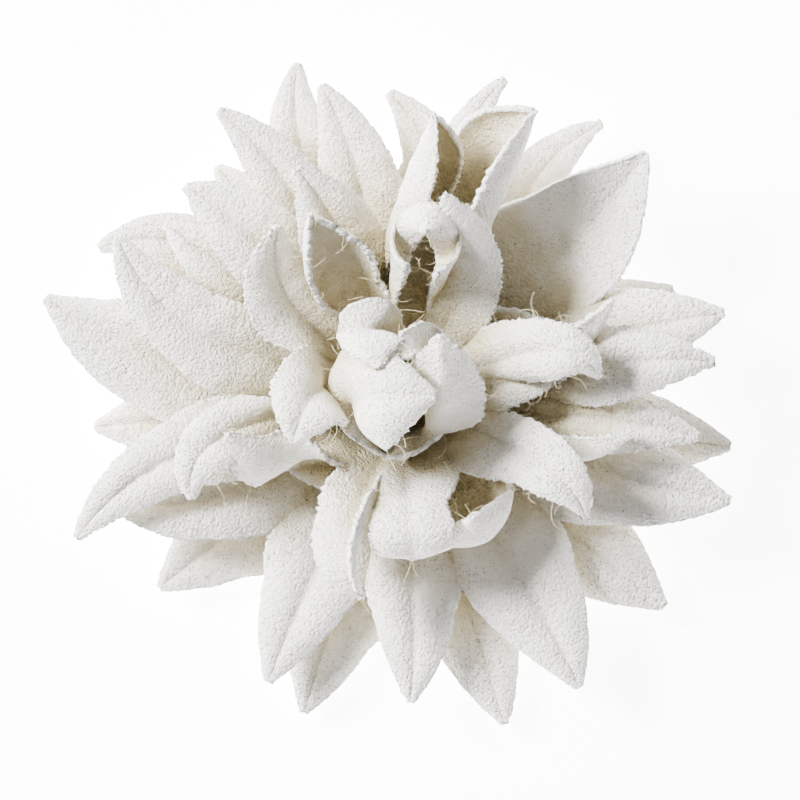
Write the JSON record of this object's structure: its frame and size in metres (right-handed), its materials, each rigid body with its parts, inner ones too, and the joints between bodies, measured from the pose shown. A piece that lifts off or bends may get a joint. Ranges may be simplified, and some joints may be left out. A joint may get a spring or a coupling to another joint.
{
  "type": "giant paper flower",
  "caption": "Large wall or table flower of thick handmade paper: nested one-piece rosettes of creased, curled petals around a small closed bud.",
  "frame": {"origin": "middle of the flat hub underside, where the flower rests on its back", "axes": "+Z out of the flower's face towards the viewer, +X to the viewer's right, +Y up the face"},
  "size_m": [0.2496, 0.242, 0.0892],
  "materials": {
    "paper_sheet_1_back": "matte handmade pulp sheet, white coat",
    "paper_sheet_2": "matte handmade pulp sheet, white coat",
    "paper_sheet_3": "matte handmade pulp sheet, white coat",
    "paper_sheet_4": "matte handmade pulp sheet, white coat",
    "paper_sheet_5_bud": "matte handmade pulp sheet, white coat"
  },
  "bodies": {
    "root": {"sheet_1_back": "paper_sheet_1_back", "sheet_2": "paper_sheet_2", "sheet_3": "paper_sheet_3", "sheet_4": "paper_sheet_4", "sheet_5_bud": "paper_sheet_5_bud"}
  },
  "joints": []
}
